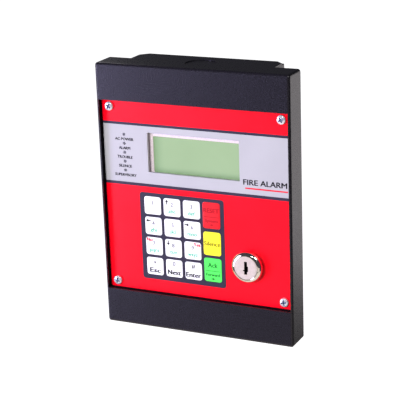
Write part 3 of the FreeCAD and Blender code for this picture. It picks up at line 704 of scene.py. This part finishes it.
# rings of one wing of the cross cutter: depth below the head's top, width and height as shares of the
# wing's half sizes, and corner radius
wingRings = ((-0.3 * mm, 2.1, 2.1, 0.15 * mm), (0.05 * mm, 2, 2, 0.15 * mm),
             (screwShape["recess"], 1.0, 1.2, 0.1 * mm))


def booleanCut(piece, cutter):
    cut = piece.modifiers.new("cut", "BOOLEAN")
    cut.object = cutter
    cut.operation = "DIFFERENCE"
    cut.solver = "EXACT"
    cut.use_self = True
    bpy.context.view_layer.update()
    mesh = bpy.data.meshes.new_from_object(piece.evaluated_get(bpy.context.evaluated_depsgraph_get()))
    bpy.data.objects.remove(piece)
    bpy.data.objects.remove(cutter)
    return mesh


def screwMesh(length, metals):
    # one screw with its seat at y = 0
    s = screwShape
    top = -s["rise"]
    steps = s["domeSteps"]
    profile = [(0, top)]
    for k in range(1, steps + 1):                       # a flattened dome down to the rim
        angle = math.radians(90 * k / steps)
        dome = (s["rise"] - s["side"]) * math.cos(angle) ** s["domeFlat"] if k < steps else 0
        profile.append((s["head"] * math.sin(angle) ** s["domeWide"], -(s["side"] + dome)))
    profile += [(s["head"], -s["rimUp"]), (s["head"] - s["rimIn"], 0), (s["shank"], 0)]
    y = s["firstRidge"]
    while y < length - s["pitch"]:
        profile += [(s["shank"] - s["ridge"], y), (s["shank"], y + s["pitch"] / 2)]
        y += s["pitch"]
    profile += [(s["shank"] - s["ridge"], y), (s["shank"] - s["tipIn"], length), (0, length)]
    bm = bmesh.new()
    lathe(bm, profile, 0, 0, 48)
    head = makePiece("head", bm, metals)
    bm = bmesh.new()
    for across, up in ((s["wing"], s["wingWidth"]), (s["wingWidth"], s["wing"])):
        loft(bm, [roundedRing(0, 0, across * wide, up * high, corner, top + depth, 2)
                  for depth, wide, high, corner in wingRings])
    # the cutter's faces become the cross recess walls, which wear the painted shade
    for face in bm.faces:
        face.material_index = 1
    wings = makePiece("wings", bm, metals)
    return booleanCut(head, wings)


def makeScrews():
    zinc = finish("zincPlate", rgb(214, 217, 226), rgb(236, 239, 246), patch=700, rough=0.24, roughStep=0.07,
                  grain=3000, depth=0.004, metal=0.6)
    # the cross recess: painted shade, darker and bluer than the zinc head
    recess = finish("screwRecessShade", rgb(96, 112, 146), rgb(134, 150, 182), patch=900, rough=0.4, grain=2600,
                    depth=0.01, metal=0.6)
    boxes = groupBoxes("faceplate_screws")
    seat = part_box("faceplate_label")[0].y
    mesh = screwMesh(boxes[0][1].y - seat, [zinc, recess])
    bm = bmesh.new()
    for (low, high), turn in zip(boxes, screwShape["turns"]):
        middle = (low + high) / 2
        copy = bmesh.new()
        copy.from_mesh(mesh)
        place = Matrix.Translation((middle.x, seat, middle.z)) @ Matrix.Rotation(math.radians(turn), 4, "Y")
        bmesh.ops.transform(copy, matrix=place, verts=copy.verts)
        shifted = bpy.data.meshes.new("shifted")
        copy.to_mesh(shifted)
        copy.free()
        bm.from_mesh(shifted)
        bpy.data.meshes.remove(shifted)
    screws = makePiece("cross_screws", bm, [zinc, recess], sharp=32)
    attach(screws, "root")
    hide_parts("faceplate_screws")
    paint(zinc, "cover_screws", "faceplate_lugs", "faceplate_studs", "stud_nuts", "ground_stud",
          "ground_nuts")


headShape = {"rim": 8.95 * mm, "bevel": 0.3 * mm, "slope": 15, "edgeSteps": 14,
             "base": 10.7 * mm, "tuckSteps": 6, "tuckPower": 1.6,
             "seat": 8.75 * mm, "seatDepth": 1.25 * mm, "seatBevel": 0.1 * mm, "bore": 6.05 * mm,
             "barrel": 9.2 * mm, "flat": 8.0 * mm, "threadPitch": 1.0 * mm, "threadDepth": 0.3 * mm,
             "endIn": 0.6 * mm}
plugShape = {"faceRadius": 8.55 * mm, "faceSunk": 0.12 * mm, "flange": 1.15 * mm,
             # the eased rim: how far in and how far back
             "rimSteps": ((0.0, 0.18 * mm), (0.05 * mm, 0.06 * mm), (0.18 * mm, 0.0)),
             "groove": 7.9 * mm, "grooveWidth": 0.2 * mm, "grooveDepth": 0.14 * mm,
             "shaft": 6.0 * mm, "shaftEdge": 0.3 * mm, "keyRing": 5.6 * mm, "keyEase": 0.14 * mm,
             "keyDepth": 19.0 * mm, "tangLength": 2.5 * mm, "tangSunk": 0.2 * mm, "tangEdge": 0.3 * mm,
             "tang": (3.0 * mm, 5.6 * mm, 0.4 * mm), "tangTip": (2.5 * mm, 5.1 * mm, 0.3 * mm)}
# the keyway's outline, in mm from the lock's middle, anticlockwise from the front
keywayOutline = [(-1.05, -4.75), (1.05, -4.75), (1.05, -2.6), (1.75, -2.6), (1.75, 1.4), (1.05, 1.4),
                 (1.05, 4.75), (-1.05, 4.75), (-1.05, -1.5), (-2.0, -1.5), (-2.0, -2.3), (-1.05, -2.3)]


def makeLockHead(chrome):
    s = headShape
    low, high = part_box("lock_body")
    middle = (low + high) / 2
    radius = (high.x - low.x) / 2
    face, end = low.y, high.y
    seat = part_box("faceplate_label")[0].y
    seatBottom = face + s["seatDepth"]
    profile = [(s["bore"], seatBottom), (s["seat"], seatBottom), (s["seat"], face + s["seatBevel"]),
               (s["rim"], face)]
    slope = math.radians(s["slope"])
    edge = (radius - s["rim"] - s["bevel"]) / (1 - math.sin(slope))
    waist = face + s["bevel"] * math.tan(slope) + edge * math.cos(slope)
    for k in range(s["edgeSteps"] + 1):                 # round edge out to the widest place
        angle = slope + (math.pi / 2 - slope) * k / s["edgeSteps"]
        profile.append((radius - edge + edge * math.sin(angle), waist - edge * math.cos(angle)))
    for k in range(1, s["tuckSteps"] + 1):              # tucked in towards the label
        share = k / s["tuckSteps"]
        tuck = (radius - s["base"]) * share ** s["tuckPower"]
        profile.append((radius - tuck, waist + (seat - waist) * share))
    crest, root, pitch = s["barrel"], s["barrel"] - s["threadDepth"], s["threadPitch"]
    profile.append((root, seat))
    y = seat
    while y < end - pitch:
        profile += [(crest, y + pitch / 2), (root, y + pitch)]
        y += pitch
    profile += [(crest - s["endIn"], end), (s["bore"], end)]

    def flats(point):
        # the barrel behind the label has two flat sides
        if point.y > seat + 0.01 * mm:
            point.x = max(-s["flat"], min(s["flat"], point.x))
        return point
    bm = bmesh.new()
    lathe(bm, profile, middle.x, middle.z, 96, squeeze=flats)
    head = makePiece("lock_head", bm, [chrome], sharp=38)
    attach(head, "root")
    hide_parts("lock_body")


def keywayRing(middle, y, grow):
    # the stepped outline, each corner pushed out by grow
    count = len(keywayOutline)
    ring = []
    for k in range(count):
        before = Vector(keywayOutline[k - 1])
        here = Vector(keywayOutline[k])
        after = Vector(keywayOutline[(k + 1) % count])
        into = (here - before).normalized()
        out = (after - here).normalized()
        push = Vector((into.y, -into.x)) + Vector((out.y, -out.x))
        moved = here * mm + push * grow
        ring.append(Vector((middle.x + moved.x, y, middle.z + moved.y)))
    return ring


def makeLockPlug(satin, dark):
    s = plugShape
    low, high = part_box("lock_body")
    middle = (low + high) / 2
    front = low.y + s["faceSunk"]
    back = low.y + s["flange"]
    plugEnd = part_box("lock_plug")[1].y
    shaftEnd = plugEnd - s["tangLength"]
    groove, half = s["groove"], s["grooveWidth"] / 2
    profile = [(0, shaftEnd), (s["shaft"] - s["shaftEdge"], shaftEnd),
               (s["shaft"], shaftEnd - s["shaftEdge"]), (s["shaft"], back), (s["faceRadius"], back)]
    profile += [(s["faceRadius"] - inset, front + depth) for inset, depth in s["rimSteps"]]
    profile += [(groove + half, front), (groove, front + s["grooveDepth"]), (groove - half, front),
                (s["keyRing"], front)]
    bm = bmesh.new()
    rings = lathe(bm, profile, middle.x, middle.z, 96)
    slot = loft(bm, [keywayRing(middle, front, s["keyEase"]), keywayRing(middle, front + s["keyEase"], 0.0),
                     keywayRing(middle, front + s["keyDepth"], 0.0)], capStart=False)
    # the keyway's deep walls wear the dark finish: painted shade inside the slot
    for k in range(len(slot[0])):
        for wall in [f for f in bm.faces if slot[2][k] in f.verts]:
            wall.material_index = 1
    edges = []
    for ring in (rings[-1], slot[0]):
        for k in range(len(ring)):
            edges.append(bm.edges.get((ring[k], ring[(k + 1) % len(ring)])))
    bmesh.ops.triangle_fill(bm, edges=edges, use_beauty=True, use_dissolve=False)
    # the tang that turns the contacts
    loft(bm, [roundedRing(middle.x, middle.z, *s["tang"], shaftEnd - s["tangSunk"], 3),
              roundedRing(middle.x, middle.z, *s["tang"], plugEnd - s["tangEdge"], 3),
              roundedRing(middle.x, middle.z, *s["tangTip"], plugEnd, 3)])
    plug = makePiece("lock_core", bm, [satin, dark], sharp=30)
    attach(plug, "lock_plug_body")
    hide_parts("lock_plug")


def makeLock():
    chrome = finish("chrome", rgb(238, 231, 222), rgb(242, 236, 228), patch=300, rough=0.06, roughStep=0.02,
                    grain=1800, depth=0.0008, metal=1.0)
    satin = finish("satinNickel", rgb(204, 190, 184), rgb(214, 201, 195), patch=500, rough=0.34,
                   roughStep=0.06, grain=2400, depth=0.004, metal=0.25, stretch=(1.0, 1.0, 9.0))
    # the keyway walls' finish: painted shade, darker than the plug's metal
    dark = finish("keywayShade", rgb(30, 22, 20), rgb(20, 15, 15), patch=500, rough=0.6, grain=2000,
                  depth=0.02, metal=0.5)
    makeLockHead(chrome)
    makeLockPlug(satin, dark)
    paint(chrome, "lock_washer", "lock_nut")


bezelShape = {"rollRadius": 0.9 * mm, "rollSteps": 4, "sheet": 0.6 * mm, "corner": 1.2 * mm,
              "leastCorner": 0.3 * mm, "lip": 1.5 * mm, "lipSink": 0.45, "lipTurn": 70, "lipSteps": 4,
              # where the flat front ends, and the lip's edge and back, each as out and back
              "lipLand": 0.5 * mm, "lipEdge": (0.02 * mm, 0.05 * mm), "lipBack": (0.4 * mm, 0.03 * mm),
              "openWidth": 77.0 * mm, "openHeight": 26.5 * mm, "openCorner": 0.8 * mm,
              "metal": (232, 218, 226)}


def makeBezel():
    s = bezelShape
    low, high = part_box("lcd_bezel")
    middle = (low + high) / 2
    width, height = high.x - low.x, high.z - low.z
    t = s["sheet"]
    rings = []

    def outer(inset, y):
        rings.append(roundedRing(middle.x, middle.z, width - 2 * inset, height - 2 * inset,
                                 max(s["corner"] - inset, s["leastCorner"]), y, 5))

    def opening(inset, y):
        rings.append(roundedRing(middle.x, middle.z, s["openWidth"] + 2 * inset, s["openHeight"] + 2 * inset,
                                 s["openCorner"] + inset, y, 5))
    front, back = low.y, high.y
    outer(t, back)
    outer(0, back)
    outer(0, front + s["rollRadius"])
    for k in range(1, s["rollSteps"] + 1):
        angle = math.radians(90 * k / s["rollSteps"])
        outer(s["rollRadius"] * (1 - math.cos(angle)), front + s["rollRadius"] * (1 - math.sin(angle)))
    opening(s["lip"] + s["lipLand"], front)
    lipEnd = front + s["lip"] * s["lipSink"]
    full = math.radians(s["lipTurn"])
    for k in range(s["lipSteps"] + 1):                  # the lip rolls back round the opening
        angle = full * k / s["lipSteps"]
        outward = s["lip"] * (1 - math.sin(angle) / math.sin(full))
        opening(outward, front + (lipEnd - front) * (1 - math.cos(angle)))
    opening(s["lipEdge"][0], lipEnd + s["lipEdge"][1])
    opening(s["lip"] + s["lipBack"][0], front + t - s["lipBack"][1])
    outer(t, front + t)
    bm = bmesh.new()
    loft(bm, rings, close=True)
    metal = finish("bezelMetal", *tones(s["metal"], 10), patch=220, rough=0.3, roughStep=0.05, grain=1600,
                   depth=0.006, metal=0.35, stretch=(1.0, 1.0, 6.0))
    bezel = makePiece("display_bezel", bm, [metal], sharp=40)
    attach(bezel, "root")
    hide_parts("lcd_bezel")


# edgeShade: a painted shade along the glass's left and lower edges
glassShape = {"ease": 0.25 * mm, "faceCorner": 0.4 * mm, "corner": 0.5 * mm, "film": (139, 163, 125),
              "edgeShade": (112, 142, 106), "shadeShare": 0.55, "leftReach": 9 * mm, "lowerReach": 5 * mm}


def glassFinish(middle):
    # pale green film, with painted shade greying it towards its left and lower edges
    s = glassShape
    material = finish("displayGreen", *tones(s["film"], 6), patch=18, rough=0.2, roughStep=0.03, grain=2600,
                      depth=0.002, coat=0.5, coatRough=0.08)
    tree = material.node_tree
    shader = tree.nodes["Principled BSDF"]
    film = shader.inputs["Base Color"].links[0].from_socket
    parts = addNode(tree, "ShaderNodeSeparateXYZ")
    tree.links.new(addNode(tree, "ShaderNodeTexCoord").outputs["Object"], parts.inputs["Vector"])
    left = middle.x - bezelShape["openWidth"] / 2
    lower = middle.z - bezelShape["openHeight"] / 2
    for axis, start, reach in (("X", left, s["leftReach"]), ("Z", lower, s["lowerReach"])):
        near = addNode(tree, "ShaderNodeMapRange", {"From Min": start, "From Max": start + reach,
                                                    "To Min": s["shadeShare"], "To Max": 0.0},
                       interpolation_type="SMOOTHSTEP")
        tree.links.new(parts.outputs[axis], near.inputs["Value"])
        mix = addNode(tree, "ShaderNodeMix", data_type="RGBA")
        tree.links.new(near.outputs["Result"], mix.inputs["Factor"])
        tree.links.new(film, mix.inputs["A"])
        mix.inputs["B"].default_value = rgb(*s["edgeShade"])
        film = mix.outputs["Result"]
    tree.links.new(film, shader.inputs["Base Color"])
    return material


def makeGlass():
    low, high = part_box("lcd_glass")
    middle = (low + high) / 2
    width, height = high.x - low.x, high.z - low.z
    ease, corner, faceCorner = glassShape["ease"], glassShape["corner"], glassShape["faceCorner"]
    bm = bmesh.new()
    loft(bm, [roundedRing(middle.x, middle.z, width - 2 * inset, height - 2 * inset, radius, y, 2)
              for inset, radius, y in ((ease, faceCorner, low.y), (0, corner, low.y + ease),
                                       (0, corner, high.y - ease), (ease, faceCorner, high.y))])
    glass = makePiece("display_glass", bm, [glassFinish(middle)])
    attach(glass, "root")
    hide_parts("lcd_glass")


lensShape = {"radius": 1.0 * mm, "domeSteps": 8, "body": 2.55 * mm, "ease": 0.15 * mm}


def makeLamps():
    clear = finish("lampClear", rgb(92, 92, 102), rgb(122, 122, 132), patch=900, rough=0.12, roughStep=0.04,
                   grain=2500, depth=0.002, specular=0.7, coat=0.6, coatRough=0.05)
    bm = bmesh.new()
    radius, ease, steps = lensShape["radius"], lensShape["ease"], lensShape["domeSteps"]
    for low, high in groupBoxes("indicator_leds"):
        middle = (low + high) / 2
        foot = (high.x - low.x) / 2
        shoulder = low.y + lensShape["body"]
        profile = [(0, low.y)]
        for k in range(1, steps + 1):
            angle = math.radians(90 * k / steps)
            profile.append((radius * math.sin(angle), low.y + radius * (1 - math.cos(angle))))
        profile += [(radius, shoulder - ease), (radius + ease, shoulder), (foot - ease, shoulder),
                    (foot, shoulder + ease), (foot, high.y), (0, high.y)]
        lathe(bm, profile, middle.x, middle.z, 32)
    lamp = makePiece("lamp_lenses", bm, [clear], sharp=40)
    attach(lamp, "root")
    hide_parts("indicator_leds")


# finishes of the faceplate and of what is behind it: two tones, the nodes that wear them, and the finish
insideFinishes = {
    "plateSteel": (
        (188, 188, 192), (205, 205, 209), ["faceplate"],
        {"patch": 150, "rough": 0.36, "grain": 1500, "depth": 0.01, "metal": 0.9,
         "stretch": (1.0, 1.0, 8.0)}),
    "boardGreen": (
        (22, 86, 46), (34, 108, 60), ["keypad_board", "lcd_board", "main_board", "led_board"],
        {"patch": 420, "rough": 0.32, "grain": 900, "depth": 0.02, "coat": 0.4}),
    "mouldedBlack": (
        (28, 28, 30), (38, 38, 41),
        ["lcd_header", "processor", "small_chips", "buzzer", "regulator", "switch_block"],
        {"patch": 200, "rough": 0.5, "grain": 1600, "depth": 0.02}),
    "brightSteel": (
        (196, 196, 200), (214, 214, 218), ["key_domes", "crystal", "terminal_screws"],
        {"patch": 400, "rough": 0.25, "grain": 2500, "depth": 0.004, "metal": 1.0}),
    "whiteNylon": (
        (222, 221, 214), (232, 231, 225), ["lcd_spacers", "board_spacers", "led_spacers"],
        {"patch": 150, "rough": 0.45, "grain": 1400, "depth": 0.01}),
    "backlightWhite": (
        (222, 232, 216), (232, 240, 226), ["lcd_backlight"],
        {"patch": 80, "rough": 0.5, "grain": 1200, "depth": 0.01}),
    "canAluminium": (
        (168, 170, 176), (186, 188, 194), ["capacitors"],
        {"patch": 300, "rough": 0.3, "grain": 2200, "depth": 0.004, "metal": 0.9}),
    "terminalGreen": (
        (32, 132, 72), (40, 146, 82), ["terminal_block"],
        {"patch": 160, "rough": 0.42, "grain": 1500, "depth": 0.015}),
    "connectorCream": (
        (226, 220, 200), (234, 229, 211), ["connectors"],
        {"patch": 160, "rough": 0.45, "grain": 1500, "depth": 0.01}),
    "ribbonGrey": (
        (150, 152, 158), (176, 178, 184), ["keypad_ribbon", "led_ribbon"],
        {"patch": 500, "rough": 0.5, "grain": 800, "depth": 0.08, "stretch": (1.0, 0.05, 0.05)}),
    "wireRed": (
        (190, 26, 30), (206, 34, 38), ["lock_wires"],
        {"patch": 150, "rough": 0.4, "grain": 1500, "depth": 0.01}),
    "trimmerBlue": (
        (36, 84, 168), (46, 98, 184), ["contrast_trimmer"],
        {"patch": 200, "rough": 0.4, "grain": 1500, "depth": 0.01}),
    "brass": (
        (196, 160, 84), (212, 178, 100), ["trimmer_rotor", "switch_terminals"],
        {"patch": 300, "rough": 0.3, "grain": 2000, "depth": 0.004, "metal": 1.0}),
}


def paintInside():
    for name, (base, second, wearers, look) in insideFinishes.items():
        paint(finish(name, rgb(*base), rgb(*second), **look), *wearers)


makeCamera()
makeStudio()
print("camera and studio made")
coatSheetMetal()
makeLabel()
makeKeys()
print("label and keys made")
makeScrews()
makeLock()
makeBezel()
makeGlass()
makeLamps()
paintInside()
print("screws, lock, display and lamps made")
